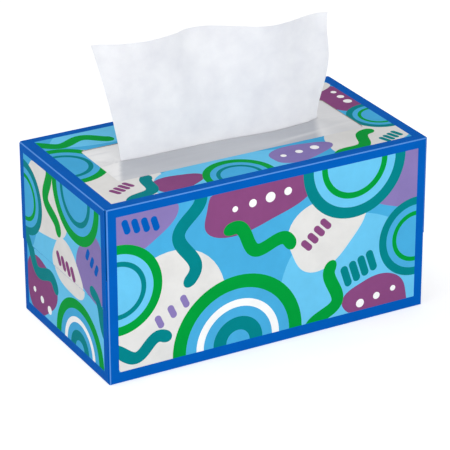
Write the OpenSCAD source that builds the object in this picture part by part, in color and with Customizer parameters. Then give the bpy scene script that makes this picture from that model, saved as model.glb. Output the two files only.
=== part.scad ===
// Tissue box: a folded and glued board carton with a film window in its top panel,
// a stack of interfolded tissues inside and the first tissue drawn up through the slit.
// Millimetres, +Z up. The origin is the middle of the base and the front faces -Y.

/* [Carton] */
// Length of the box, left to right
box_l = 232; // [200:1:260]
// Depth of the box, front to back
box_w = 123.5; // [112:0.5:150]
// Height of the box
box_h = 120; // [100:1:150]
// Thickness of the carton board
board_t = 0.5; // [0.35:0.05:0.8]
// Outer radius of a folded crease
crease_r = 1.2; // [0.9:0.1:2]

/* [Flaps] */
// Height of the outer end flap's free edge above the base
seam_z = 52; // [30:1:65]
// How far the lower end flap reaches up behind the outer one
flap_overlap = 20; // [10:1:30]
// How far each dust flap reaches in from its wall
dust_reach = 46; // [30:1:50]
// How much a dust flap's upper and lower edges close in over its reach
dust_taper = 8; // [3:1:15]
// Distance from the start of a corner's crease to the end flaps' cut edges
flap_inset = 0.3; // [0.1:0.1:2]
// Gap between a tucked-in flap's cut edges and the panels beside it
flap_gap = 1.5; // [1:0.1:3]
// How far glued flaps are pressed into each other
glue_press = 0.05; // [0.02:0.01:0.1]
// Width of the seam flap glued inside the back panel
seam_flap_w = 16; // [10:1:25]

/* [Window] */
// Board left at each end of the window
window_end = 27; // [20:1:35]
// Board left in front of the window and behind it
window_side = 34.5; // [28:0.5:40]
// Corner radius of the window
window_r = 3; // [1:0.5:10]

/* [Film] */
// Thickness of the film
film_t = 0.1; // [0.05:0.01:0.3]
// Width of the film's glued border under the board
film_border = 12; // [6:1:18]
// Width of the flat film inside the window's edge
film_level = 1.5; // [1:0.5:4]
// Film left between the slit and each end of the window, on average
slit_end = 16; // [8:0.5:25]
// How far the slit lies to the left of the window's middle
slit_shift = 2; // [0:0.5:5]
// Height of the slit's lips above the top panel
lip_rise = 0.5; // [0.3:0.1:4]

/* [Stack] */
// Gap between the stack and each end of the carton
stack_end_gap = 10; // [3:0.5:12]
// Gap between the stack and the front and back of the carton
stack_side_gap = 7.5; // [3:0.5:10]
// Free height between the stack and the top panel
headspace = 15; // [12:0.5:25]
// Radius of the stack's long folded edges
stack_edge_r = 4; // [1:0.5:8]

/* [Tissue] */
// Thickness of the two-ply sheet
tissue_t = 0.3; // [0.2:0.05:0.5]
// Gap between the sheet and each lip of the slit
slit_gap = 0.3; // [0.2:0.05:0.6]
// Gap between the sheet and the stack under it
rest_gap = 0.2; // [0.1:0.05:0.4]
// Height of the sheet's top edge above the slit
stand_h = 74; // [40:1:85]
// Slit left free beside the sheet's left edge
slit_free_left = 1.4; // [1:0.1:6]
// Slit left free beside the sheet's right edge
slit_free_right = 1.7; // [1:0.1:8]
// How far the left edge leans out over the standing height
left_flare = 11.3; // [0:0.1:15]
// How far the right edge leans out over the standing height
right_flare = 3.9; // [0:0.1:8]
// How far the right edge bows out half way up
right_bow = 5.2; // [0:0.1:8]
// Depth of the broad wave at the top edge
wave_depth = 12; // [0:0.5:14]
// Length of the broad wave
wave_l = 305; // [200:5:360]
// Depth of the small wave at the top edge
ripple_depth = 6; // [0:0.5:8]
// Length of the small wave
ripple_l = 79; // [60:1:120]
// How far the sheet lies toward the front before it folds back
fold_reach = 36.5; // [15:0.5:45]
// Radius of that fold, at the middle of the sheet
fold_r = 1; // [0.6:0.1:2]
// Radius of the bend from lying to standing
bend_r = 4; // [2:0.5:5]
// Margin between the sheet's hidden edges and the stack's edges
sheet_inset = 3.5; // [0.5:0.5:8]

/* [Hidden] */
$fn = 48;
cut = 1; // how far a cutter passes the face that it cuts

// Carton: the walls carry the dust flaps, the lower flap lies on those and the outer flap on that
inner_r = crease_r - board_t;
layer = board_t - glue_press; // how far each glued flap stands out from the one under it
lower_l = box_l - 2 * layer;
wall_l = lower_l - 2 * layer;
crease_span = box_w - 2 * crease_r;
flap_w = crease_span - 2 * flap_inset;
flap_lap = 2 * (crease_r + board_t); // how far an end flap's root laps over the tube
glue_bite = board_t / 2; // how far the seam flap is sunk in the panel that it is glued to
inner_l = wall_l - 2 * board_t;
inner_w = box_w - 2 * board_t;
inner_h = box_h - 2 * board_t;
panel_under = box_h - board_t;
window_l = box_l - 2 * window_end;
window_w = box_w - 2 * window_side;

// Film
slit_l = window_l - 2 * slit_end;
slit_w = tissue_t + 2 * slit_gap;
lip_z = box_h + lip_rise;
film_rings = 6;
sag_growth = 1.4; // 1 is a straight slope from the lips to the window's edge

// Stack
stack_l = inner_l - 2 * stack_end_gap;
stack_w = inner_w - 2 * stack_side_gap;
stack_h = inner_h - headspace;
stack_top = board_t + stack_h;

// Tissue: middle heights of the two lying layers, then the ends of each stretch
low_z = stack_top + rest_gap + tissue_t / 2;
high_z = low_z + 2 * fold_r;
tail_y = stack_w / 2 - sheet_inset;
sheet_half_l = stack_l / 2 - sheet_inset;
slit_left = slit_free_left - slit_l / 2 - slit_shift;
slit_right = slit_l / 2 - slit_shift - slit_free_right;
columns = 40;
stand_rows = 16;
arc_step = 30;
wave_zero = 23.5;
ripple_peak = -10.6;
wave_growth = 2;

// Rectangle with rounded corners, centred
module rounded_rect(length, width, radius) {
    square([length - 2 * radius, width], center = true);
    square([length, width - 2 * radius], center = true);
    for (x = [-1, 1], y = [-1, 1])
        translate([x * (length / 2 - radius), y * (width / 2 - radius)])
            circle(radius);
}

// Block on the middle of the box, with its long edges and its upright edges rounded
module folded_block(length, width, height, radius) {
    translate([0, 0, box_h / 2])
        intersection() {
            rotate([90, 0, 90])
                linear_extrude(length, center = true)
                    rounded_rect(width, height, radius);
            linear_extrude(height, center = true)
                rounded_rect(length, width, radius);
        }
}

// Opening between the two dust flaps of one end, drawn across the box from its middle
module dust_opening() {
    root_h = inner_h / 2 - flap_gap;
    tip_y = box_w / 2 - dust_reach;
    difference() {
        square([crease_span, inner_h], center = true);
        for (side = [0, 1])
            mirror([side, 0])
                polygon([
                    [box_w / 2, -root_h],
                    [box_w / 2, root_h],
                    [tip_y, root_h - dust_taper],
                    [tip_y, dust_taper - root_h]
                ]);
    }
}

// Tube of four panels with the dust flaps folded in at both ends
module tube_and_dust_flaps() {
    difference() {
        intersection() {
            folded_block(wall_l, box_w, box_h, crease_r);
            translate([0, 0, box_h / 2])
                rotate([90, 0, 0])
                    linear_extrude(box_w, center = true)
                        rounded_rect(lower_l, box_h, crease_r);
        }
        folded_block(inner_l, inner_w, inner_h, inner_r);
        translate([0, 0, box_h / 2])
            rotate([90, 0, 90])
                linear_extrude(box_l, center = true)
                    dust_opening();
    }
}

// Profile of a panel folded over one end: the outer corner is at the origin,
// the panel runs toward -X and the flap toward -Y
module fold_profile(panel_run, flap_run) {
    translate([-panel_run, -board_t])
        square([panel_run - crease_r, board_t]);
    translate([-board_t, -flap_run])
        square([board_t, flap_run - crease_r]);
    translate([-crease_r, -crease_r])
        intersection() {
            difference() {
                circle(crease_r);
                circle(inner_r);
            }
            square(crease_r);
        }
}

// End flap with its crease, drawn on the right end and hanging from the top
module end_flap(reach_x, flap_run) {
    translate([reach_x, 0, 0])
        rotate([90, 0, 0])
            linear_extrude(flap_w, center = true)
                fold_profile(flap_lap, flap_run);
}

module carton() {
    color("royalblue")
        difference() {
            union() {
                tube_and_dust_flaps();
                for (end = [0, 1])
                    mirror([end, 0, 0]) {
                        translate([0, 0, box_h])
                            end_flap(box_l / 2, box_h - seam_z);
                        mirror([0, 0, 1])
                            end_flap(lower_l / 2, seam_z + flap_overlap);
                    }
                // Seam flap, folded up from the base and glued inside the back panel
                translate([flap_gap - inner_l / 2, inner_w / 2 - board_t, crease_r])
                    cube([inner_l - 2 * flap_gap, board_t + glue_bite, seam_flap_w - crease_r]);
            }
            translate([0, 0, panel_under - cut])
                linear_extrude(board_t + 2 * cut)
                    rounded_rect(window_l, window_w, window_r);
        }
}

// Half sizes, top height and shift of one ring of the film, from the slit's lips (0) outward.
// The film sags from the lips to the flat stretch inside the window's edge.
function film_ring(i) =
    let (
        share = i / film_rings,
        level_x = window_l / 2 - film_level,
        level_y = window_w / 2 - film_level,
        sag = pow(1 - share, sag_growth)
    )
    [
        slit_l / 2 + share * (level_x - slit_l / 2),
        slit_w / 2 + share * (level_y - slit_w / 2),
        panel_under + sag * (lip_z - panel_under),
        (share - 1) * slit_shift
    ];

module film_window() {
    rings = concat(
        [for (i = [0:film_rings]) film_ring(i)],
        [[window_l / 2 + film_border, window_w / 2 + film_border, panel_under, 0]]
    );
    last = len(rings) - 1;
    // Eight points a ring: four corners on the upper face, then four on the lower one
    points = [
        for (ring = rings, drop = [0, film_t], corner = [[-1, -1], [1, -1], [1, 1], [-1, 1]])
            [corner[0] * ring[0] + ring[3], corner[1] * ring[1], ring[2] - drop]
    ];
    slopes = [
        for (i = [0:last - 1], k = [0:3])
            let (a = 8 * i + k, b = 8 * i + (k + 1) % 4)
            each [[a, b, b + 8, a + 8], [b + 4, a + 4, a + 12, b + 12]]
    ];
    rims = [
        for (k = [0:3])
            let (a = k, b = (k + 1) % 4, c = 8 * last + a, d = 8 * last + b)
            each [[b, a, a + 4, b + 4], [c, d, d + 4, c + 4]]
    ];
    color("gainsboro", 0.6)
        polyhedron(points, concat(slopes, rims));
}

module tissue_stack() {
    color("white")
        translate([0, 0, board_t + stack_h / 2])
            rotate([90, 0, 90])
                linear_extrude(stack_l, center = true)
                    rounded_rect(stack_w, stack_h, stack_edge_r);
}

// Depth of the standing sheet's waves at its top edge
function wave(x) =
    -wave_depth * sin(360 * (x - wave_zero) / wave_l)
    + ripple_depth * cos(360 * (x - ripple_peak) / ripple_l);

// One row of the sheet: edges left and right, middle depth and height,
// the side that its first face looks to, and its share of the waves
function row(left, right, y, z, facing, share) = [left, right, y, z, facing, share];

// Row of the lying sheet, whose width fans out from the slit's (0) to the whole sheet's (1)
function lying_row(fan, y, z, facing) =
    row(
        slit_left + fan * (-sheet_half_l - slit_left),
        slit_right + fan * (sheet_half_l - slit_right),
        y, z, facing, 0
    );

function standing_row(share) =
    row(
        slit_left - left_flare * share,
        slit_right + right_flare * share + right_bow * pow(sin(180 * share), 2),
        0, lip_z + share * stand_h, [-1, 0], pow(share, wave_growth)
    );

// Rows from the hidden edge on the stack to the top edge
sheet_rows = concat(
    [lying_row(1, tail_y, low_z, [0, -1])],
    [
        for (angle = [0:arc_step:180])
            lying_row(
                1,
                -fold_reach - fold_r * sin(angle),
                low_z + fold_r * (1 - cos(angle)),
                [-sin(angle), -cos(angle)]
            )
    ],
    [
        for (angle = [0:arc_step:90])
            lying_row(
                0,
                bend_r * (sin(angle) - 1),
                high_z + bend_r * (1 - cos(angle)),
                [-sin(angle), cos(angle)]
            )
    ],
    [for (i = [0:stand_rows]) standing_row(i / stand_rows)]
);

module top_tissue() {
    last = len(sheet_rows) - 1;
    width = columns + 1;
    back = (last + 1) * width; // index of the back face's first point
    points = [
        for (side = [1, -1], r = sheet_rows, c = [0:columns])
            let (
                x = r[0] + (r[1] - r[0]) * c / columns,
                shift = side * tissue_t / 2
            )
            [x, r[2] + r[5] * wave(x) + shift * r[4][0], r[3] + shift * r[4][1]]
    ];
    skins = [
        for (i = [0:last - 1], c = [0:columns - 1])
            let (a = i * width + c, b = a + 1, d = a + width, e = d + 1)
            each [
                [a, d, e], [a, e, b],
                [back + a, back + e, back + d], [back + a, back + b, back + e]
            ]
    ];
    ends = [
        for (c = [0:columns - 1])
            let (a = c, b = c + 1, d = last * width + c, e = d + 1)
            each [[a, b, back + b, back + a], [e, d, back + d, back + e]]
    ];
    sides = [
        for (i = [0:last - 1])
            let (a = i * width, b = a + width, d = a + columns, e = b + columns)
            each [[b, a, back + a, back + b], [d, e, back + e, back + d]]
    ];
    color("white")
        polyhedron(points, concat(skins, ends, sides));
}

carton();
film_window();
tissue_stack();
top_tissue();
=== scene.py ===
# %% [markdown]
# # A tissue box
# The object is a printed carton of paper tissues, with a slit film window in its top and one
# tissue drawn up through the slit. The shapes come from a CAD frame that is packed beside this
# script. This lesson dresses that frame: the print on the board, the hazy film, the folded stack
# and the standing sheet, and then the floor, the light and the camera.

# %% Load the frame
import math

import bmesh
import bpy
import numpy as np
from mathutils import Euler, Matrix, Vector, noise
from mathutils.geometry import delaunay_2d_cdt


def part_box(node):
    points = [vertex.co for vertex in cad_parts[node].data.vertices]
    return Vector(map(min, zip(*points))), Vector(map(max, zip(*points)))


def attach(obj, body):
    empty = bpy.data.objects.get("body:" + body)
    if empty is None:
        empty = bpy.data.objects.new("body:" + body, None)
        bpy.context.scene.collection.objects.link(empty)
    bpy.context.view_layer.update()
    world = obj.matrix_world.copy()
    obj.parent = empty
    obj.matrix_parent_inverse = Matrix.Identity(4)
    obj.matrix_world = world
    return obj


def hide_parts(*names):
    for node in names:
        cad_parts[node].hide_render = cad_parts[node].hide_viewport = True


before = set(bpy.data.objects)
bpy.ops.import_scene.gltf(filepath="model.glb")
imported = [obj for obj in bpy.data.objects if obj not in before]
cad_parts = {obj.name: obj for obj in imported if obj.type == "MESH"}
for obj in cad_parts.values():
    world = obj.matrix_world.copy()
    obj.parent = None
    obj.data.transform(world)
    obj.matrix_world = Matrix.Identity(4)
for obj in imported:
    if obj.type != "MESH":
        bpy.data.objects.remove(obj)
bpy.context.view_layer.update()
carton_low, carton_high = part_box("carton")
_, film_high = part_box("film_window")
stack_low, stack_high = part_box("tissue_stack")
_, sheet_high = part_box("top_tissue")
print("carton from", tuple(carton_low), "to", tuple(carton_high))

# %% [markdown]
# ## Small helpers
# Colours are written as the sRGB hex values that an eye would pick, and Blender works in linear
# light, so one function turns the one into the other. Another function adds a shader node with its
# settings, and links or sets its inputs. Lengths in this file are in millimetres, as on a
# drawing, and `MM` turns them to Blender's metres.

# %% Helpers
MM = 0.001


def linear(hex_colour, alpha=1.0):
    """An sRGB hex colour as linear red, green, blue and alpha."""
    channels = []
    for start in (1, 3, 5):
        value = int(hex_colour[start:start + 2], 16) / 255
        if value <= 0.04045:
            channels.append(value / 12.92)
        else:
            channels.append(((value + 0.055) / 1.055) ** 2.4)
    return (*channels, alpha)


def add_node(tree, kind, inputs=None, **settings):
    """A new node. An input that is another node's socket is linked, and any other value is set."""
    node = tree.nodes.new(kind)
    for name, value in settings.items():
        setattr(node, name, value)
    for socket, value in (inputs or {}).items():
        if isinstance(value, bpy.types.NodeSocket):
            tree.links.new(value, node.inputs[socket])
        else:
            node.inputs[socket].default_value = value
    return node


def new_material(name):
    """A material with only its output node, and its node tree."""
    material = bpy.data.materials.new(name)
    material.use_nodes = True
    material.node_tree.nodes.clear()
    output = material.node_tree.nodes.new("ShaderNodeOutputMaterial")
    return material, material.node_tree, output


def start_clean():
    """Leaves edit mode with nothing selected, before a new piece starts."""
    if bpy.context.object and bpy.context.object.mode != "OBJECT":
        bpy.ops.object.mode_set(mode="OBJECT")
    bpy.ops.object.select_all(action="DESELECT")


def finish_piece(piece, node):
    """Ties a finished piece to the root body, hides the frame's part that it stands for, and prints its
    triangles.
    """
    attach(piece, "root")
    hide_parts(node)
    triangles = sum(len(face.vertices) - 2 for face in piece.data.polygons)
    print(piece.name, "has", triangles, "triangles")


print("one millimetre is", MM, "of Blender's metres")

# %% [markdown]
# ## Camera
# The box was photographed from its front left, a little above, with a long lens that keeps its
# edges nearly parallel. The seven corners that show give the lens, the angles and the distance.
# The camera could be aimed by a Track To constraint. It is placed by numbers here, because the
# measured view doesn't pass through the middle of the box.

# %% Camera
view_azimuth = math.radians(-29.01)
view_elevation = math.radians(24.95)
view_roll = math.radians(-0.13)
camera_place = Vector((-0.73646, -1.32979, 0.76644))

camera_data = bpy.data.cameras.new("camera")
camera_data.sensor_width = 36
camera_data.lens = 206.1
camera_data.clip_end = 20
camera = bpy.data.objects.new("camera", camera_data)
bpy.context.scene.collection.objects.link(camera)
turned = Euler((math.pi / 2 - view_elevation, 0, view_azimuth)).to_matrix()
rolled = turned @ Matrix.Rotation(view_roll, 3, "Z")
camera.matrix_world = Matrix.Translation(camera_place) @ rolled.to_4x4()
bpy.context.scene.camera = camera
print("camera at", tuple(camera_place), "with a", camera_data.lens, "mm lens")

# %% [markdown]
# ## Floor and light
# A box like this is shown on white, under broad soft light that leaves hardly a shadow. The world
# gives most of that light from all round, large lamps add a little form, most from the front, and
# the floor is white paper. To the camera, and in mirrors and glass, the world is plain white and the
# floor also glows, so that both read as one clean white page with a soft shadow at the carton's foot.

# %% World
room_strength = 0.62
scene = bpy.context.scene
scene.view_settings.view_transform = "Standard"
world = bpy.data.worlds.new("white studio")
scene.world = world
world.use_nodes = True
world_tree = world.node_tree
world_tree.nodes.clear()


def page_is_seen(tree):
    """A socket that is 1 for the rays that show the background: straight, mirrored or through glass."""
    rays = add_node(tree, "ShaderNodeLightPath")
    camera_or_glossy = add_node(
        tree, "ShaderNodeMath",
        {0: rays.outputs["Is Camera Ray"], 1: rays.outputs["Is Glossy Ray"]}, operation="MAXIMUM")
    seen_white = add_node(
        tree, "ShaderNodeMath",
        {0: camera_or_glossy.outputs[0], 1: rays.outputs["Is Transmission Ray"]}, operation="MAXIMUM")
    return seen_white.outputs[0]


room_light = add_node(world_tree, "ShaderNodeBackground", {"Strength": room_strength})
white_page = add_node(world_tree, "ShaderNodeBackground", {"Strength": 1.0})
either = add_node(
    world_tree, "ShaderNodeMixShader",
    {0: page_is_seen(world_tree), 1: room_light.outputs[0], 2: white_page.outputs[0]})
add_node(world_tree, "ShaderNodeOutputWorld", {"Surface": either.outputs[0]})
print("room light of strength", room_strength)

# %% Floor
floor_across = 8
page_glow = 0.5
start_clean()
bpy.ops.mesh.primitive_plane_add(size=floor_across)
floor = bpy.context.object
floor.name = "floor"
floor_white, tree, output = new_material("white paper sweep")
paper = add_node(tree, "ShaderNodeBsdfDiffuse", {"Color": linear("#e8e8e8")})
glow = add_node(tree, "ShaderNodeEmission", {"Strength": page_glow})
both = add_node(tree, "ShaderNodeAddShader", {0: paper.outputs[0], 1: glow.outputs[0]})
seen = add_node(
    tree, "ShaderNodeMixShader",
    {0: page_is_seen(tree), 1: paper.outputs[0], 2: both.outputs[0]})
tree.links.new(seen.outputs[0], output.inputs["Surface"])
floor.data.materials.append(floor_white)
print("floor", floor.dimensions.x, "m across")

# %% Lamps
lamp_aim = Vector((0, 0, 0.08))
# Each lamp's name, its place and its width in metres, and its watts.
lamps = (
    ("front lamp", (-0.25, -1.8, 0.7), 1.5, 18.5),
    ("left lamp", (-1.5, -0.3, 0.5), 1.2, 4.5),
    ("back lamp", (-0.5, 0.8, 1.7), 1.2, 7),
)
for name, place, across, power in lamps:
    lamp_data = bpy.data.lights.new(name, "AREA")
    lamp_data.shape = "DISK"
    lamp_data.size = across
    lamp_data.energy = power
    lamp = bpy.data.objects.new(name, lamp_data)
    lamp.location = place
    lamp.rotation_euler = (lamp_aim - lamp.location).to_track_quat("-Z", "Y").to_euler()
    scene.collection.objects.link(lamp)
    print(name, "of", power, "W, at", place)

# %% [markdown]
# ## The carton's board
# The carton is one blank of folding boxboard: a grey-brown core, coated white outside, printed in
# flat inks and varnished. Its shape is already right in the frame, down to the rounded folds and
# the glued end flaps, so it isn't modelled again. A copy of the frame's mesh is merged, because
# that mesh is loose triangles, and its flat panels are joined up into single faces. Those faces
# are what the print will be cut into.

# %% Copy the carton
merge_within = 1e-6
flat_within = math.radians(0.5)
start_clean()
carton = bpy.data.objects.new("printed_carton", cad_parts["carton"].data.copy())
scene.collection.objects.link(carton)
carton.data.materials.clear()
bpy.context.view_layer.objects.active = carton
carton.select_set(True)
bpy.ops.object.mode_set(mode="EDIT")
bpy.ops.mesh.select_all(action="SELECT")
bpy.ops.mesh.remove_doubles(threshold=merge_within)
bpy.ops.mesh.dissolve_limited(angle_limit=flat_within)
bpy.ops.mesh.customdata_custom_splitnormals_clear()
bpy.ops.object.mode_set(mode="OBJECT")
print("merged carton:", len(carton.data.polygons), "faces")

# %% [markdown]
# ## Inks on coated board
# Each ink is flat colour under a satin varnish. The eye gets three things from it: an even colour
# that mottles very slightly, as ink lies unevenly on the coating, a soft sheen, and a faint
# roughness of the fibres below. Real fibres are about 0.1 mm apart, too fine for this view, so they
# are drawn at 0.8 mm. One function makes every ink, and the inks differ only in colour. Along the
# crest of each fold a paler blue is a painted highlight.

# %% Ink materials
FIBRE = 0.8 * MM
MOTTLE = 14 * MM
# A noise texture hardly leaves the range between these two values.
NOISE_LOW, NOISE_HIGH = 0.3, 0.7
SHEEN_SPREAD = 0.05


def ink_on_board(name, colour, mottle=0.04, roughness=0.55):
    """Satin varnished ink on coated folding boxboard."""
    material, tree, output = new_material(name)
    place = add_node(tree, "ShaderNodeTexCoord")
    cloud = add_node(
        tree, "ShaderNodeTexNoise",
        {"Vector": place.outputs["Object"], "Scale": 1 / MOTTLE, "Detail": 3.0, "Roughness": 0.6})
    lightness = add_node(
        tree, "ShaderNodeMapRange",
        {"Value": cloud.outputs["Fac"], "From Min": NOISE_LOW, "From Max": NOISE_HIGH,
         "To Min": 1 - mottle, "To Max": 1 + mottle})
    ink = add_node(
        tree, "ShaderNodeHueSaturation",
        {"Color": linear(colour), "Value": lightness.outputs[0]})
    fibres = add_node(
        tree, "ShaderNodeTexNoise",
        {"Vector": place.outputs["Object"], "Scale": 1 / FIBRE, "Detail": 2.0})
    grain = add_node(
        tree, "ShaderNodeBump",
        {"Height": fibres.outputs["Fac"], "Strength": 0.06, "Distance": 0.05 * MM})
    sheen = add_node(
        tree, "ShaderNodeMapRange",
        {"Value": fibres.outputs["Fac"], "From Min": NOISE_LOW, "From Max": NOISE_HIGH,
         "To Min": roughness - SHEEN_SPREAD, "To Max": roughness + SHEEN_SPREAD})
    varnish = add_node(
        tree, "ShaderNodeBsdfPrincipled",
        {"Base Color": ink.outputs[0], "Roughness": sheen.outputs[0],
         "Normal": grain.outputs[0], "Specular IOR Level": 0.02})
    tree.links.new(varnish.outputs[0], output.inputs["Surface"])
    return material


INKS = {
    "royal": "#005dba",
    "fold": "#5a92dc",
    # A paler blue, painted along the folds' crests as a painted highlight.
    "sky": "#49addf",
    "pale": "#6bc7f1",
    "cream": "#e3e2e0",
    "lavender": "#8a7ab6",
    "plum": "#8a4a7f",
    "green": "#009c3b",
    "teal": "#028389",
    "white": "#fbfbfb",
    "core": "#a0978f",
}
INK_ORDER = list(INKS)
for ink_name, colour in INKS.items():
    if ink_name == "core":
        material = ink_on_board("bare_boxboard", colour, mottle=0.06, roughness=0.9)
    else:
        material = ink_on_board(ink_name + "_ink_on_boxboard", colour)
    carton.data.materials.append(material)
print("inks:", ", ".join(INK_ORDER))

# %% [markdown]
# ## Shapes for the print
# The print is a cut-paper design of pebbles, rainbows, ribbons, bars and dots, drawn as closed
# outlines in millimetres on a flat panel. It could be painted by a texture, but outlines that are cut
# into the faces stay sharp at any size. The first functions each draw one outline. The three in the
# next cell set outlines together: half rings inside each other, dots in a row, and bars side by side.

# %% Outlines
LOBES = 3


def turned_to(points, x, y, turn):
    """Points turned by some degrees about the origin, then moved to x, y."""
    cosine = math.cos(math.radians(turn))
    sine = math.sin(math.radians(turn))
    return [(x + cosine * px - sine * py, y + sine * px + cosine * py) for px, py in points]


def pebble(x, y, wide, high, turn=0, dent=0.1, phase=0.0, steps=56):
    """A rounded stone shape. Its outline swells and dents in three lobes."""
    points = []
    for step in range(steps):
        angle = 2 * math.pi * step / steps
        reach = 1 + dent * math.cos(LOBES * angle + phase)
        points.append((wide / 2 * reach * math.cos(angle), high / 2 * reach * math.sin(angle)))
    return turned_to(points, x, y, turn)


def dot(x, y, across):
    """A plain round dot."""
    return pebble(x, y, across, across, dent=0, steps=24)


def arch(x, y, outer, inner, turn=0, steps=36):
    """Half of a ring, as an arched gateway, that stands on its two feet before it is turned."""
    angles = [math.radians(180 * step / steps) for step in range(steps + 1)]
    over = [(outer * math.cos(angle), outer * math.sin(angle)) for angle in angles]
    back_under = [(inner * math.cos(angle), inner * math.sin(angle)) for angle in reversed(angles)]
    return turned_to(over + back_under, x, y, turn)


def ribbon(start, end, width, waves=1.5, swing=5.0, steps=90):
    """A snaking band with round ends, from one point to another."""
    start, end = Vector(start), Vector(end)
    length = (end - start).length
    ahead = (end - start) / length
    side = Vector((-ahead.y, ahead.x))
    left = []
    right = []
    for step in range(steps + 1):
        share = 0.5 - 0.5 * math.cos(math.pi * step / steps)
        turn = 2 * math.pi * waves * share
        middle = start + ahead * length * share + side * swing * math.sin(turn)
        slope = swing * 2 * math.pi * waves / length * math.cos(turn)
        across = (side - ahead * slope).normalized()
        short = max(0, 1 - min(share, 1 - share) * length / (width / 2))
        half = width / 2 * math.sqrt(1 - short ** 2)
        left.append(tuple(middle + across * half))
        right.append(tuple(middle - across * half))
    return right + left[-2:0:-1]


print("a pebble has", len(pebble(0, 0, 10, 8)), "points")

# %% Groups of outlines
# A rainbow's ground and the two edges of its bands, as shares of its size.
GROUND_ACROSS = 1.9
BAND_OUTER = (1, 0.64, 0.38)
BAND_INNER = (0.8, 0.53, 0.18)


def rainbow(x, y, size, ground, bands, turn=0):
    """Half rings inside each other over a round ground, each shape with its ink."""
    shapes = [(ground, pebble(x, y, GROUND_ACROSS * size, GROUND_ACROSS * size, dent=0))]
    for ink, outer, inner in zip(bands, BAND_OUTER, BAND_INNER):
        shapes.append((ink, arch(x, y, size * outer, size * inner, turn)))
    return shapes


def dots_in_row(ink, start, end, sizes):
    """Dots from one point to another, one for each size."""
    start, end = Vector(start), Vector(end)
    steps = len(sizes) - 1
    places = [start + (end - start) * (step / steps) for step in range(steps + 1)]
    return [(ink, dot(place.x, place.y, across)) for place, across in zip(places, sizes)]


def strokes(ink, start, end, slant, width, count):
    """Short straight bars side by side, with their middles on a line and all with one slant."""
    start, end, slant = Vector(start), Vector(end), Vector(slant)
    bars = []
    for step in range(count):
        middle = start + (end - start) * (step / (count - 1))
        bars.append((ink, ribbon(middle - slant / 2, middle + slant / 2, width, waves=0, steps=24)))
    return bars


print("a rainbow has", len(rainbow(0, 0, 10, "sky", ("green", "white", "teal"))), "shapes")

# %% [markdown]
# ## The layout of the print
# Later shapes lie over earlier ones, as cut paper does. Every panel has a royal blue border, and
# inside it a sky blue ground. The front is laid out first. The back takes the same shapes turned
# end for end, and the right end takes those of the left end.

# %% Front panel
FRONT = [
    ("pale", pebble(62, 30, 128, 92, turn=6, phase=0.8)),
    ("cream", pebble(-76, 36, 102, 88, turn=-18, phase=1.9)),
    ("plum", pebble(-12, 104, 78, 40, turn=6, dent=0.12, phase=0.5)),
    ("lavender", pebble(99, 100, 58, 54, turn=-25, phase=1.2)),
    ("cream", pebble(40, 71, 60, 46, turn=30, phase=0.3)),
    ("lavender", pebble(-98, 106, 60, 40, turn=12)),
    ("plum", pebble(80, 14, 50, 32, turn=-12, phase=2.4)),
    *rainbow(-24, 7.9, 47, "sky", ("green", "white", "teal")),
    *rainbow(61, 113.8, 38, "pale", ("teal", "green"), turn=180),
    *rainbow(-108.6, 64, 31, "pale", ("green", "teal"), turn=-90),
    *rainbow(108.6, 52, 28, "sky", ("teal", "green"), turn=90),
    ("teal", ribbon((-56, 126), (-62, 56), 9, waves=1.5, swing=7)),
    ("green", ribbon((-34, 86), (16, 64), 9, waves=1.5, swing=6)),
    ("green", ribbon((32, -8), (52, 46), 9, waves=1.4, swing=7)),
    ("teal", ribbon((-122, 18), (-72, 22), 8.5, waves=1.5, swing=5)),
    *strokes("teal", (56, 35), (75, 42), (-5, 15), 5.5, 4),
    *strokes("plum", (26, 64), (40, 76), (7, -7), 4.5, 4),
    *strokes("lavender", (-80, 36), (-62, 46), (4, -9), 4.5, 3),
    *strokes("royal", (-102, 106), (-82, 104), (3, -10), 4.5, 4),
    *dots_in_row("white", (-26, 101), (12, 105), (4, 5.5, 7, 5.5)),
    *dots_in_row("white", (67, 13), (92, 18), (6, 5, 4)),
]
print("front:", len(FRONT), "shapes")

# %% End panel
END = [
    ("pale", pebble(10, 46, 116, 96, turn=-10, phase=0.8)),
    ("cream", pebble(-26, 92, 66, 52, turn=14, phase=1.9)),
    ("plum", pebble(-36, 28, 46, 40, turn=24, phase=0.8)),
    ("lavender", pebble(42, 72, 42, 46, turn=-12, phase=1.6)),
    ("cream", pebble(6, 58, 44, 32, turn=-20, phase=0.4)),
    *rainbow(20, 114.2, 33, "sky", ("green", "teal"), turn=180),
    *rainbow(20, 7.6, 34, "sky", ("green", "white", "teal")),
    *rainbow(-55, 84, 26, "sky", ("teal", "green"), turn=-90),
    ("teal", ribbon((-66, 54), (-12, 32), 8.5, waves=1.5, swing=6)),
    ("green", ribbon((-26, 122), (-10, 74), 8.5, waves=1.4, swing=6)),
    ("teal", ribbon((66, 30), (38, 58), 8, waves=1.0, swing=4)),
    *strokes("plum", (-6, 60), (14, 57), (5, -9), 4.5, 4),
    *strokes("royal", (36, 80), (48, 74), (4, 8), 4, 3),
    *dots_in_row("white", (-46, 22), (-24, 16), (4, 5, 6)),
]
print("end:", len(END), "shapes")

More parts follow.
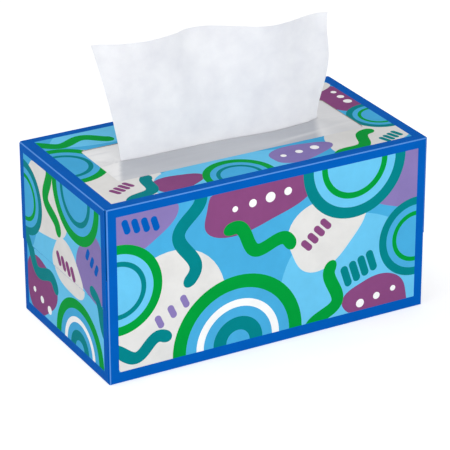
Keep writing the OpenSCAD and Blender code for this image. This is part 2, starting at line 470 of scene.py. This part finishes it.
# %% Top panel
TOP = [
    ("cream", pebble(-92, -20, 60, 96, turn=8, phase=1.9)),
    ("pale", pebble(-20, -44, 120, 40, turn=2, phase=0.6)),
    ("cream", pebble(84, -40, 70, 44, turn=14, phase=0.9)),
    ("plum", pebble(102, 24, 36, 48, turn=10, phase=0.4)),
    ("lavender", pebble(32, -42, 46, 24, turn=6)),
    ("plum", pebble(-58, -46, 36, 22, turn=8)),
    ("pale", pebble(-40, 46, 130, 34, turn=-3, phase=0.6)),
    ("lavender", pebble(-2, 44, 44, 20, turn=-6)),
    ("cream", pebble(70, 46, 70, 30, turn=4)),
    *rainbow(-108, 10, 28, "sky", ("green", "teal"), turn=-90),
    *rainbow(-18, -54.7, 24, "sky", ("green", "teal")),
    *rainbow(108, -14, 21, "sky", ("teal", "green"), turn=90),
    ("teal", ribbon((-96, -64), (-66, -30), 8, waves=1.4, swing=4)),
    ("green", ribbon((50, -64), (92, -34), 8, waves=1.5, swing=4)),
    ("green", ribbon((-122, 48), (-60, 40), 8, waves=1.8, swing=4)),
    ("teal", ribbon((20, 62), (76, 32), 8, waves=1.6, swing=4)),
    *dots_in_row("white", (20, -42), (44, -40), (4, 5, 6)),
    *dots_in_row("white", (103, 34), (103, 16), (4, 5, 6)),
    *strokes("white", (-10, 44), (4, 43), (3, -7), 3.5, 3),
    *strokes("royal", (-42, 42), (-30, 46), (4, -8), 3.5, 3),
    *strokes("plum", (-98, -40), (-86, -34), (4, -8), 3.5, 4),
    *strokes("teal", (90, -51), (102, -46), (-3, 9), 3.5, 4),
]
print("top:", len(TOP), "shapes")

# %% [markdown]
# ## Cutting the print into the panels
# A panel's flat faces are taken out of the mesh and their rim is kept. The rim, the border's
# inner edge and the shapes are cut against each other by a Delaunay triangulation, which joins
# outlines that cross and fills all between them with triangles. The last outline that holds a
# triangle gives its ink. Because the rim's corners are the old ones, the carton stays closed. A
# shape that runs past the border's inner edge is pressed back to it.

# %% Panels of the carton
half_l = carton_high.x / MM
half_w = carton_high.y / MM
box_h = carton_high.z / MM
board_t = 0.5
glue_press = 0.05
# The outer flap ends at seam_z, and a hairline of border lies on each side of its edge. The lower flap
# lies back by flap_step, and its print misses the outer flap's by off_register.
seam_z = 52
seam_clear = 0.12
flap_step = board_t - glue_press
off_register = 0.7
X, Y, Z = Vector((1, 0, 0)), Vector((0, 1, 0)), Vector((0, 0, 1))
# A field is what a border leaves free: its lowest and highest place across, and then up.
LONG_FIELD = (-108.6, 108.6, 7.9, 113.8)
TOP_FIELD = (-108, 108, -54.7, 54.7)
UPPER_END = (-55, 55, seam_z + seam_clear, 114.2)
LOWER_END = (-55, 55, 7.6, seam_z - seam_clear)
LOWER_PRINT = [(ink, [(x + off_register, y - off_register) for x, y in shape]) for ink, shape in END]
TURNED = [(ink, [(-x, box_h - y) for x, y in shape]) for ink, shape in FRONT]
# Each panel's name, its directions across and up, a point on it, its field and its shapes.
PANELS = [
    ("front", X, Z, -half_w * Y, LONG_FIELD, FRONT),
    ("back", -X, Z, half_w * Y, LONG_FIELD, TURNED),
    ("top", X, Y, box_h * Z, TOP_FIELD, TOP),
    ("bottom", X, -Y, 0 * Z, TOP_FIELD, []),
    ("left outer flap", -Y, Z, -half_l * X, UPPER_END, END),
    ("left lower flap", -Y, Z, (flap_step - half_l) * X, LOWER_END, LOWER_PRINT),
    ("right outer flap", Y, Z, half_l * X, UPPER_END, END),
    ("right lower flap", Y, Z, (half_l - flap_step) * X, LOWER_END, LOWER_PRINT),
]
print(len(PANELS), "printed panels")

# %% Rims and insides
def rim_of(faces):
    """The closed loops of vertices round a patch of faces, with the patch on their left."""
    patch = set(faces)
    onward = {}
    for face in faces:
        for loop in face.loops:
            if loop.link_loop_radial_next.face not in patch:
                onward[loop.vert] = loop.link_loop_next.vert
    rims = []
    while onward:
        start, vertex = onward.popitem()
        rim = [start]
        while vertex != start:
            rim.append(vertex)
            vertex = onward.pop(vertex)
        rims.append(rim)
    return sorted(rims, key=len)


def inside(points, outline):
    """Which points lie in an outline: those from which a line to the right crosses it oddly often."""
    here = np.zeros(len(points), bool)
    for (ax, ay), (bx, by) in zip(outline, outline[1:] + outline[:1]):
        if ay != by:
            level = (ay > points[:, 1]) != (by > points[:, 1])
            here ^= level & (points[:, 0] < ax + (points[:, 1] - ay) * (bx - ax) / (by - ay))
    return here


two_points = np.array([(0, 0), (9, 9)])
print("points in a dot:", int(inside(two_points, dot(0, 0, 4)).sum()), "of", len(two_points))

# %% Cutting a flat sheet
CUT_PRECISION = 1e-5
ON_EDGE = 1e-4


def cut_apart(outlines):
    """All corners of the cut, the corners of each triangle, and the outline points at each corner."""
    corners = []
    edges = []
    for outline in outlines:
        first = len(corners)
        corners.extend(Vector(point) for point in outline)
        edges.extend((corner, corner + 1) for corner in range(first, len(corners) - 1))
        edges.append((len(corners) - 1, first))
    places, _, cells, from_corners, _, _ = delaunay_2d_cdt(corners, edges, [], 0, CUT_PRECISION)
    return places, cells, from_corners


def corner_at(mesh, place, rim_edges):
    """A new vertex. Where it lies on the rim, the rim's edge is split for it, so that no gap opens."""
    for edge in rim_edges:
        a, b = edge.verts
        along = b.co - a.co
        share = (place - a.co).dot(along) / along.length_squared
        if 0 < share < 1 and (a.co + along * share - place).length < ON_EDGE * MM:
            new_edge, vertex = bmesh.utils.edge_split(edge, a, share)
            vertex.co = place
            rim_edges.append(new_edge)
            return vertex
    return mesh.verts.new(place)


print("a dot is cut into", len(cut_apart([dot(0, 0, 4)])[1]), "triangles")

# %% Choosing faces and inks
SQUARE_ON = 0.9999
FLUSH = 0.05


def flat_faces(mesh, out, base):
    """The faces that look straight out and lie flush with a panel's base point."""
    faces = []
    for face in mesh.faces:
        middle = face.calc_center_median() / MM
        if face.normal.dot(out) > SQUARE_ON and abs((middle - base).dot(out)) < FLUSH:
            faces.append(face)
    return faces


def pressed_back(shape, field):
    """An outline whose points past the border's inner edge are moved back to that edge."""
    low_x, high_x, low_y, high_y = field
    return [(min(max(x, low_x), high_x), min(max(y, low_y), high_y)) for x, y in shape]


def inks_of_cells(places, cells, rim_outlines, prints):
    """Which triangles lie on the panel, and each one's place in the list of inks."""
    middles = np.array(
        [sum((places[corner] for corner in cell), Vector((0, 0))) / 3 for cell in cells])
    on_panel = np.zeros(len(cells), bool)
    for outline in rim_outlines:
        on_panel ^= inside(middles, outline)
    ink_of = np.full(len(cells), INK_ORDER.index("royal"))
    for ink, outline in prints:
        ink_of[inside(middles, outline)] = INK_ORDER.index(ink)
    return on_panel, ink_of


print("a panel's faces lie within", FLUSH, "mm of it")

# %% Print the panels
def print_panel(mesh, across, up, base, field, shapes):
    """Cuts one flat panel of the carton into fields of ink."""
    faces = flat_faces(mesh, across.cross(up), base)
    rims = rim_of(faces)
    rim_outlines = [[(v.co.dot(across) / MM, v.co.dot(up) / MM) for v in rim] for rim in rims]
    low_x, high_x, low_y, high_y = field
    ground = [(low_x, low_y), (high_x, low_y), (high_x, high_y), (low_x, high_y)]
    prints = [("sky" if shapes else "cream", ground)]
    prints += [(ink, pressed_back(shape, field)) for ink, shape in shapes]
    places, cells, from_corners = cut_apart(rim_outlines + [outline for _, outline in prints])
    on_panel, ink_of = inks_of_cells(places, cells, rim_outlines, prints)
    rim_vertices = [vertex for rim in rims for vertex in rim]
    bmesh.ops.delete(mesh, geom=faces, context="FACES")
    rim_edges = [edge for vertex in rim_vertices for edge in vertex.link_edges if edge.is_boundary]
    vertices = []
    for place, olds in zip(places, from_corners):
        on_rim = [old for old in olds if old < len(rim_vertices)]
        if on_rim:
            vertices.append(rim_vertices[on_rim[0]])
        else:
            vertices.append(corner_at(mesh, (across * place.x + up * place.y + base) * MM, rim_edges))
    for cell, shown, ink in zip(cells, on_panel, ink_of):
        if shown:
            mesh.faces.new([vertices[corner] for corner in cell]).material_index = int(ink)
    return int(on_panel.sum())


bare = bmesh.new()
bare.from_mesh(carton.data)
bare.normal_update()
for face in bare.faces:
    face.material_index = INK_ORDER.index("core")
for name, across, up, base, field, shapes in PANELS:
    cells = print_panel(bare, across, up, base, field, shapes)
    print(name, "cut into", cells, "fields")
    bare.normal_update()

# %% [markdown]
# ## Folds and cut edges
# The rounded folds between the panels are printed royal blue like the borders, and along their
# crests a paler blue is a painted highlight. The folds are the outer faces that no axis faces
# squarely, and a crest is where the board has turned by about half of the right angle. At the ends
# the blue runs on over the upright edges of the flaps and the dust flaps below them. All that is
# left, the inside and the other cut edges, is bare grey-brown board.

# %% Paint the folds
carton_middle = Vector((0, 0, box_h / 2))
crest_facing = math.cos(math.radians(25))
# The flaps' upright edges lie this near the ends, and their normals have hardly any height.
end_depth = 1.3
upright_within = 0.1
folds = 0
for face in bare.faces:
    place = face.calc_center_median() / MM
    facing = max(abs(part) for part in face.normal)
    outwards = face.normal.dot(place - carton_middle) > 0
    unprinted = face.material_index == INK_ORDER.index("core")
    at_end = abs(place.x) > half_l - end_depth and abs(face.normal.z) < upright_within
    # The crests of the folds get the paler blue of the painted highlight.
    if outwards and facing < crest_facing:
        face.material_index = INK_ORDER.index("fold")
        folds += 1
    elif outwards and (unprinted and at_end or facing < SQUARE_ON):
        face.material_index = INK_ORDER.index("royal")
open_edges = sum(1 for edge in bare.edges if len(edge.link_faces) != 2)
bare.to_mesh(carton.data)
bare.free()
carton.data.update()
print(folds, "fold faces,", open_edges, "open edges")

# %% Smooth the folds
sharp_fold = math.radians(40)
start_clean()
carton.select_set(True)
bpy.context.view_layer.objects.active = carton
bpy.ops.object.shade_smooth_by_angle(angle=sharp_fold)
weighted = carton.modifiers.new("flat panels", "WEIGHTED_NORMAL")
weighted.keep_sharp = True
bpy.ops.object.modifier_apply(modifier=weighted.name)
finish_piece(carton, "carton")

# %% [markdown]
# ## The film window
# The window is a hazy film glued under the top panel, slit along its middle. Sheets drawn
# through it have pushed the slit's lips up a little, so the film is a very low hipped roof: it
# rises from the glued border to the slit. The standing sheet's waves also draw the slit toward the
# front, most of all at the right, and the film wrinkles round the slit's left end, where the sheets
# bunch it. It starts as a grid with a row of cells where the slit is. That row is deleted, the grid is
# raised into the roof with its soft wrinkles, and Solidify gives it its thickness.

# %% Film grid
film_t = 0.1
film_half_x = film_high.x / MM
film_half_y = film_high.y / MM
slit_half_x, slit_half_y, slit_shift = 73, 0.45, 2
end_cells, slit_cells, side_cells = 14, 76, 22
across_cells = slit_cells + 2 * end_cells
deep_cells = 2 * side_cells + 1
start_clean()
bpy.ops.mesh.primitive_grid_add(x_subdivisions=across_cells, y_subdivisions=deep_cells, size=1)
film = bpy.context.object
film.name = "slit_film"


def spread_out(index, edge_cells, middle_cells, inner, outer):
    """The place of a grid line, with even cells between the slit's edges and even cells outside."""
    if index < edge_cells:
        return -outer + (outer - inner) * index / edge_cells
    if index > edge_cells + middle_cells:
        return inner + (outer - inner) * (index - edge_cells - middle_cells) / edge_cells
    return -inner + 2 * inner * (index - edge_cells) / middle_cells


for vertex in film.data.vertices:
    column = round((vertex.co.x + 0.5) * across_cells)
    row = round((vertex.co.y + 0.5) * deep_cells)
    vertex.co.x = spread_out(column, end_cells, slit_cells, slit_half_x, film_half_x) * MM
    vertex.co.y = spread_out(row, side_cells, 1, slit_half_y, film_half_y) * MM
print("film grid of", len(film.data.vertices), "points")

# %% Delete the slit's row
bpy.ops.object.mode_set(mode="EDIT")
bpy.ops.mesh.select_mode(type="FACE")
bpy.ops.mesh.select_all(action="DESELECT")
bpy.ops.object.mode_set(mode="OBJECT")
for face in film.data.polygons:
    in_slit = abs(face.center.x) / MM < slit_half_x and abs(face.center.y) / MM < slit_half_y
    face.select = in_slit
bpy.ops.object.mode_set(mode="EDIT")
bpy.ops.mesh.delete(type="FACE")
bpy.ops.object.mode_set(mode="OBJECT")
print("slit film of", len(film.data.polygons), "cells")

# %% Run of the slit
slit_left_end = -slit_half_x - slit_shift
slit_right_end = slit_half_x - slit_shift
# The bow starts over these lengths from the slit's ends. It is even but for one deeper wave.
left_ease, right_ease = 16, 10
even_bow = 1.1
wave_bow, wave_bow_x, wave_bow_reach = 4, 34, 27


def between(value, low, high):
    """The share of the way from low to high that a value has come, from 0 to 1."""
    return min(max((value - low) / (high - low), 0), 1)


def eased(share):
    """A share of the way, from 0 to 1, that starts and ends gently."""
    return share * share * (3 - 2 * share)


def hump(x, middle, reach):
    """A round hump along a line: 1 at its middle, and near 0 at twice its reach."""
    return math.exp(-((x - middle) / reach) ** 2)


def slit_bow(x):
    """How far the sheet's waves draw the slit toward the front, at a place along the slit."""
    free = max(min((x - slit_left_end) / left_ease, (slit_right_end - x) / right_ease, 1), 0)
    return -(even_bow + wave_bow * hump(x, wave_bow_x, wave_bow_reach)) * eased(free)


print("the slit bows", round(-slit_bow(wave_bow_x), 1), "mm to the front")

# %% Wrinkles of the film
# The heights of three kinds of wrinkle, and the most that they add up to.
soft_height, gather_height, taut_height, most_height = 0.5, 0.9, 0.25, 0.3
# Gathers reach this far from the slit's end, with so many folds for each radian round it.
gather_y, gather_reach, gather_folds, gather_seed = -1.5, 17, 3.4, 5.5
gather_fade = (-72, -77)
# The taut line would pass the box's middle at taut_y. It goes 1 mm to the back in each taut_run.
taut_y, taut_run, taut_half_width = -25, 8, 1.5
taut_fade = (12, 42)


def ripple(x, y, long, wide, seed):
    """Soft noise, from about -1 to 1, whose ripples are this long and this wide."""
    return noise.noise(Vector((x / long, y / wide, seed)))


def gathered(x, y):
    """Wrinkles that fan out to the left from the slit's left end."""
    to_end = Vector((slit_left_end - x, gather_y - y))
    near = hump(to_end.length, 0, gather_reach) * between(x, *gather_fade)
    round_end = gather_folds * math.atan2(to_end.y, to_end.x)
    return near * noise.noise(Vector((round_end, gather_seed, 0)))


def taut_line(x, y):
    """A low straight crest through the right half of the film's front."""
    return between(x, *taut_fade) * hump(y, taut_y + x / taut_run, taut_half_width)


def wrinkle(x, y, slack):
    """Height of all wrinkles at a place. They fade toward the glue and toward the lips."""
    height = soft_height * ripple(x, y, long=34, wide=11, seed=3.1)
    height += gather_height * gathered(x, y)
    height += taut_height * taut_line(x, y)
    return min(height * math.sin(math.pi * slack), most_height)


print("the taut line is", taut_height * taut_line(48, -19), "mm high")

# %% Painted shade on the milky film
# In front of the sheet the film takes a painted shade between two fades, which lean as they come
# forward.
sheet_lean = 0.49
left_fade, right_fade = (-75.5, -73), (72, 66)
# The painted shade is a little lighter toward the glue and round the middle.
shade_at_glue, shade_toward_slit = 0.96, 0.04
middle_shade_dip, middle_x, middle_reach = 0.09, -5, 40
# The film's right end takes a painted shade as well.
right_end_shade, right_end_shade_fade = 0.36, (58, 72)
# Fine streaks of painted shade run all along the film, and strong ones past the slit's left end.
streak_shading, end_streak_shading, end_streak_shading_fade = 0.1, 0.5, (-70, -77)
# Along the taut line the film is lighter, as a painted highlight, and the gathers take painted shade and
# light.
taut_highlight, gather_shading = 0.45, 0.4


def film_shade_amount(x, y, slack, in_front):
    """How much painted shade the film takes, from 0 where it is pale and milky to 1 where it is darkest.
    """
    leaning = x + sheet_lean * abs(y)
    in_sheet_shade = between(leaning, *left_fade) * between(leaning, *right_fade) * in_front
    streaks = streak_shading * ripple(x, y, long=40, wide=3, seed=9.2)
    streaks += end_streak_shading * between(x, *end_streak_shading_fade) * ripple(x, y, long=30, wide=3.5, seed=2.4)
    shade_strength = shade_at_glue + shade_toward_slit * slack - middle_shade_dip * hump(x, middle_x, middle_reach)
    clear = max(in_sheet_shade * shade_strength, right_end_shade * between(x, *right_end_shade_fade))
    clear *= 1 - taut_highlight * taut_line(x, y)
    return between(clear + streaks - gather_shading * gathered(x, y), 0, 1)


# This shows how much painted shade the film takes in front of the sheet.
print("before the sheet the film is", round(film_shade_amount(0, -9, 0.5, True), 2), "clear")

# %% Raise the roof
glue_z = box_h - board_t
lip_rise = film_high.z / MM - glue_z
# Beyond these half sizes the film lies level, where it is glued.
level_half_x, level_half_y = 87.5, 25.75
roof_power = 1.4
# The lips close over a short stretch at each end of the slit, to this share of its width.
lip_within, tip_stretch, tip_gap = 0.5, 0.12, 0.12
painted_film_shade = film.data.attributes.new("painted_film_shade", "FLOAT", "POINT")
for vertex in film.data.vertices:
    x, y = vertex.co.x / MM, vertex.co.y / MM
    in_front = y < 0
    along = (abs(x) - slit_half_x) / (level_half_x - slit_half_x)
    away = (abs(y) - slit_half_y) / (level_half_y - slit_half_y)
    slack = 1 - between(max(along, away), 0, 1)
    if abs(y) < lip_within:
        y *= max(1 - between(along, -tip_stretch, 0), tip_gap)
    x -= slit_shift * slack
    y += slit_bow(x) * slack
    lift = slack ** roof_power * lip_rise + wrinkle(x, y, slack)
    vertex.co = Vector((x, y, glue_z + lift - film_t / 2)) * MM
    # The film's colour takes its painted shade from this attribute.
    painted_film_shade.data[vertex.index].value = film_shade_amount(x, y, slack, in_front)
print("film middle reaches", round(max(v.co.z for v in film.data.vertices) / MM, 2), "mm")

# %% Film thickness
sharp_lip = math.radians(50)
solid_film = film.modifiers.new("film thickness", "SOLIDIFY")
solid_film.thickness = film_t * MM
solid_film.offset = 0
bpy.ops.object.modifier_apply(modifier=solid_film.name)
bpy.ops.object.shade_smooth_by_angle(angle=sharp_lip)
print("film lips reach", round(max(v.co.z for v in film.data.vertices) / MM, 2), "mm")

# %% [markdown]
# The film is blown polyethylene. It is soft, hazy and slightly milky, so it lets only part of the
# stack below show. Its grey is a painted shade: in front of the slit, where the standing sheet
# shades it, and at its right end, with painted shade and highlights along its wrinkles. Blowing
# leaves fine streaks along it, finer than this view shows, so they are drawn 1.85 mm wide.

# %% Film material
STREAK_LONG = 13.9 * MM
STREAK_WIDE = 1.85 * MM
haze, tree, output = new_material("hazy_polyethylene_film")
# The film's colour goes from milky white to grey by the painted shade that this attribute holds.
painted_shade_part = add_node(tree, "ShaderNodeAttribute", attribute_name="painted_film_shade")
place = add_node(tree, "ShaderNodeTexCoord")
streaks = add_node(
    tree, "ShaderNodeMapping",
    {"Vector": place.outputs["Object"], "Scale": (1 / STREAK_LONG, 1 / STREAK_WIDE, 1 / STREAK_LONG)})
creases = add_node(
    tree, "ShaderNodeTexNoise", {"Vector": streaks.outputs[0], "Scale": 1.0, "Detail": 3.0})
milk_and_painted_shade = add_node(
    tree, "ShaderNodeMix",
    {"Factor": painted_shade_part.outputs["Fac"], 6: linear("#fafafb"), 7: linear("#c5c8cf")},
    data_type="RGBA")
soft = add_node(
    tree, "ShaderNodeBump",
    {"Height": creases.outputs["Fac"], "Strength": 0.25, "Distance": 0.4 * MM})
film_shader = add_node(
    tree, "ShaderNodeBsdfPrincipled",
    {"Base Color": milk_and_painted_shade.outputs["Result"], "Roughness": 0.38, "IOR": 1.5,
     "Normal": soft.outputs[0], "Alpha": 0.9})
tree.links.new(film_shader.outputs[0], output.inputs["Surface"])
film.data.materials.append(haze)
finish_piece(film, "film_window")

# %% [markdown]
# ## The stack
# The tissues below are interfolded: each folded edge holds the next sheet. The stack is a soft
# block with slightly rounded edges, and its long sides show the folds as fine layers. A real fold
# is half a millimetre thick, too fine to see through the film, so the layers are drawn 2.6 mm
# apart. A cube is rounded and cut into layers, and every second cut is drawn in at the front and back.

# %% Stack block
stack_size = (stack_high - stack_low) / MM
layer = 2.6
edge_round = 4
fold_pinch = 0.5
on_cut = 1e-3
sharp_layer = math.radians(35)
start_clean()
bpy.ops.mesh.primitive_cube_add(size=1)
stack = bpy.context.object
stack.name = "folded_stack"
for vertex in stack.data.vertices:
    for axis in range(3):
        vertex.co[axis] = stack_high[axis] if vertex.co[axis] > 0 else stack_low[axis]
bpy.ops.object.mode_set(mode="EDIT")
bpy.ops.mesh.select_mode(type="EDGE")
bpy.ops.mesh.select_all(action="SELECT")
bpy.ops.mesh.bevel(offset=edge_round * MM, segments=4, affect="EDGES")
cuts = int(stack_size.z / layer * 2)
for cut in range(1, cuts):
    height = stack_low.z + (stack_high.z - stack_low.z) * cut / cuts
    bpy.ops.mesh.select_all(action="SELECT")
    bpy.ops.mesh.bisect(plane_co=(0, 0, height), plane_no=(0, 0, 1))
bpy.ops.object.mode_set(mode="OBJECT")
for vertex in stack.data.vertices:
    step = (vertex.co.z - stack_low.z) / (stack_high.z - stack_low.z) * cuts
    if abs(step - round(step)) < on_cut and round(step) % 2:
        vertex.co.y -= math.copysign(fold_pinch * MM, vertex.co.y)
bpy.ops.object.shade_smooth_by_angle(angle=sharp_layer)
print("stack of", cuts // 2, "drawn layers")

# %% Stack material
SOFT_CLOUD = 9 * MM
pulp, tree, output = new_material("interfolded_tissue")
place = add_node(tree, "ShaderNodeTexCoord")
soft_cloud = add_node(
    tree, "ShaderNodeTexNoise",
    {"Vector": place.outputs["Object"], "Scale": 1 / SOFT_CLOUD, "Detail": 4.0})
tone = add_node(
    tree, "ShaderNodeMix",
    {"Factor": soft_cloud.outputs["Fac"], 6: linear("#dfe2e8"), 7: linear("#f2f4f8")},
    data_type="RGBA")
dimple = add_node(
    tree, "ShaderNodeBump",
    {"Height": soft_cloud.outputs["Fac"], "Strength": 0.3, "Distance": 0.6 * MM})
paper = add_node(
    tree, "ShaderNodeBsdfPrincipled",
    {"Base Color": tone.outputs["Result"], "Roughness": 0.95, "Specular IOR Level": 0.1,
     "Normal": dimple.outputs[0]})
tree.links.new(paper.outputs[0], output.inputs["Surface"])
stack.data.materials.append(pulp)
finish_piece(stack, "tissue_stack")

# %% [markdown]
# ## The standing tissue
# One sheet has been pulled half out. Below the slit it still lies folded on the stack, then it turns
# up, is pinched straight by the slit's lips, and stands as a loose wave above them. Cloth
# simulation would let so thin a sheet fall, and the photographed one stands because it is
# still creased from its fold, so it is shaped by a formula instead, the same one that the frame's
# solid follows. A fine grid is laid along that path from the hidden edge to the standing edge. A few
# soft creases and a fine crumple are added, and Solidify gives it the thickness of its two plies.

# %% Path of the sheet
tissue_t = 0.3
lip_z = film_high.z / MM
stand_h = sheet_high.z / MM - lip_z
stack_gap = 0.2
sheet_inset = 3.5
fold_r, bend_r, fold_reach = 1, 4, 36.5
low_z = stack_high.z / MM + stack_gap + tissue_t / 2
high_z = low_z + 2 * fold_r
neck_z = high_z + bend_r
tail_y = stack_size.y / 2 - sheet_inset
sheet_half = stack_size.x / 2 - sheet_inset
slit_left, slit_right = -73.6, 69.3
# The tail on the stack, its turn, the lift toward the slit, the bend up, the neck and the standing part.
LENGTHS = (
    tail_y + fold_reach,
    math.pi * fold_r,
    fold_reach - bend_r,
    math.pi / 2 * bend_r,
    lip_z - neck_z,
    stand_h,
)
PATH = sum(LENGTHS)


def below_slit(run):
    """Depth and height of the hidden part, and how far it is drawn together, along the path."""
    tail, turn, lift, bend, _, _ = LENGTHS
    if run < tail:
        return tail_y - run, low_z, 0
    run -= tail
    if run < turn:
        angle = run / fold_r
        return -fold_reach - fold_r * math.sin(angle), low_z + fold_r * (1 - math.cos(angle)), 0
    run -= turn
    if run < lift:
        return -fold_reach + run, high_z, run / (lift + bend)
    run -= lift
    if run < bend:
        angle = run / bend_r
        depth = -bend_r * (1 - math.sin(angle))
        return depth, high_z + bend_r * (1 - math.cos(angle)), (lift + run) / (lift + bend)
    return 0, neck_z + run - bend, 1


print("the sheet runs", round(PATH), "mm from its hidden edge to its standing edge")

# %% Waves of the standing edge
broad_swing, broad_x, broad_length = -12, 23.5, 305
tight_swing, tight_x, tight_length = 6, -10.6, 79
# Each soft crease's place along the edge, its depth and its half width.
SOFT_CREASES = ((-81, 1.1, 6), (-69, -1.3, 6), (-28, -2.0, 7), (26, -0.8, 12), (68, 1.2, 6))


def wave(x):
    """How far the standing edge swings to the back or the front at a place along its length."""
    swing = broad_swing * math.sin(2 * math.pi * (x - broad_x) / broad_length)
    swing += tight_swing * math.cos(2 * math.pi * (x - tight_x) / tight_length)
    for place, depth, half_width in SOFT_CREASES:
        swing += depth * hump(x, place, half_width)
    return swing


print("at the slit's left end the edge swings by", round(wave(slit_left)), "mm")

# %% Points of the sheet
left_flare, right_flare, right_belly = 11.3, 4.6, 5.2
# Each crumple's depth, width, height and seed. Crumples grow over the lowest part that stands.
CRUMPLES = ((0.9, 21, 34, 7.7), (0.35, 9, 16, 1.3))
crumple_grown = 0.25


def hidden_point(share_across, run):
    """A point of the part below the lips, which is drawn together to the width of the slit."""
    depth, height, drawn = below_slit(run)
    left = -sheet_half + (slit_left + sheet_half) * eased(drawn)
    right = sheet_half + (slit_right - sheet_half) * eased(drawn)
    x = left + (right - left) * share_across
    return Vector((x, depth + slit_bow(x) * between(height, neck_z, lip_z), height))


def standing_point(share_across, stood):
    """A point of the part above the lips, which flares out and waves more the higher it stands."""
    rise = stood / stand_h
    left = slit_left - left_flare * rise
    right = slit_right + right_flare * rise + right_belly * math.sin(math.pi * rise) ** 2
    x = left + (right - left) * share_across
    crumple = sum(deep * ripple(x, stood, wide, high, seed) for deep, wide, high, seed in CRUMPLES)
    depth = rise ** 2 * wave(x) + (1 - rise) ** 2 * slit_bow(x)
    depth += between(rise, 0, crumple_grown) * crumple
    return Vector((x, depth, lip_z + stood))


def sheet_point(share_across, run):
    """A point of the sheet, in millimetres, at a share of its width and a length along its path."""
    stood = run - (PATH - stand_h)
    if stood <= 0:
        return hidden_point(share_across, run)
    return standing_point(share_across, stood)


print("the top edge's left corner is at", tuple(round(part, 1) for part in sheet_point(0, PATH)))

# %% Tissue sheet
columns, rows = 150, 200
sharp_edge = math.radians(60)
start_clean()
bpy.ops.mesh.primitive_grid_add(x_subdivisions=columns, y_subdivisions=rows, size=1)
tissue = bpy.context.object
tissue.name = "drawn_tissue"
for vertex in tissue.data.vertices:
    vertex.co = sheet_point(vertex.co.x + 0.5, (vertex.co.y + 0.5) * PATH) * MM
plies = tissue.modifiers.new("two plies", "SOLIDIFY")
plies.thickness = tissue_t * MM
plies.offset = 0
bpy.ops.object.modifier_apply(modifier=plies.name)
bpy.ops.object.shade_smooth_by_angle(angle=sharp_edge)
print("tissue stands", round(max(v.co.z for v in tissue.data.vertices) / MM - lip_z), "mm proud")

# %% [markdown]
# Facial tissue is creped on a drying roll, so it is matt and white, a little blue from its
# brightener, with faint clouds where its fibres lie thicker. Creping lines are a quarter of a
# millimetre apart and don't show from here, so the bump is drawn at 1.6 mm. Some light goes through.

# %% Tissue material
FIBRE_CLOUD = 16 * MM
CREPE = 1.6 * MM
light_through = 0.3
creped, tree, output = new_material("creped_tissue_paper")
place = add_node(tree, "ShaderNodeTexCoord")
fibre_cloud = add_node(
    tree, "ShaderNodeTexNoise",
    {"Vector": place.outputs["Object"], "Scale": 1 / FIBRE_CLOUD, "Detail": 5.0, "Roughness": 0.6})
thick_thin = add_node(
    tree, "ShaderNodeMapRange",
    {"Value": fibre_cloud.outputs["Fac"], "From Min": NOISE_LOW, "From Max": NOISE_HIGH})
white = add_node(
    tree, "ShaderNodeMix",
    {"Factor": thick_thin.outputs[0], 6: linear("#eff0f4"), 7: linear("#f9fafc")},
    data_type="RGBA")
crepe = add_node(
    tree, "ShaderNodeTexNoise",
    {"Vector": place.outputs["Object"], "Scale": 1 / CREPE, "Detail": 2.0})
crinkle = add_node(
    tree, "ShaderNodeBump",
    {"Height": crepe.outputs["Fac"], "Strength": 0.2, "Distance": 0.2 * MM})
matt = add_node(
    tree, "ShaderNodeBsdfPrincipled",
    {"Base Color": white.outputs["Result"], "Roughness": 1.0, "Specular IOR Level": 0.05,
     "Normal": crinkle.outputs[0]})
lit_through = add_node(
    tree, "ShaderNodeBsdfTranslucent",
    {"Color": white.outputs["Result"], "Normal": crinkle.outputs[0]})
thin_paper = add_node(
    tree, "ShaderNodeMixShader", {0: light_through, 1: matt.outputs[0], 2: lit_through.outputs[0]})
tree.links.new(thin_paper.outputs[0], output.inputs["Surface"])
tissue.data.materials.append(creped)
finish_piece(tissue, "top_tissue")
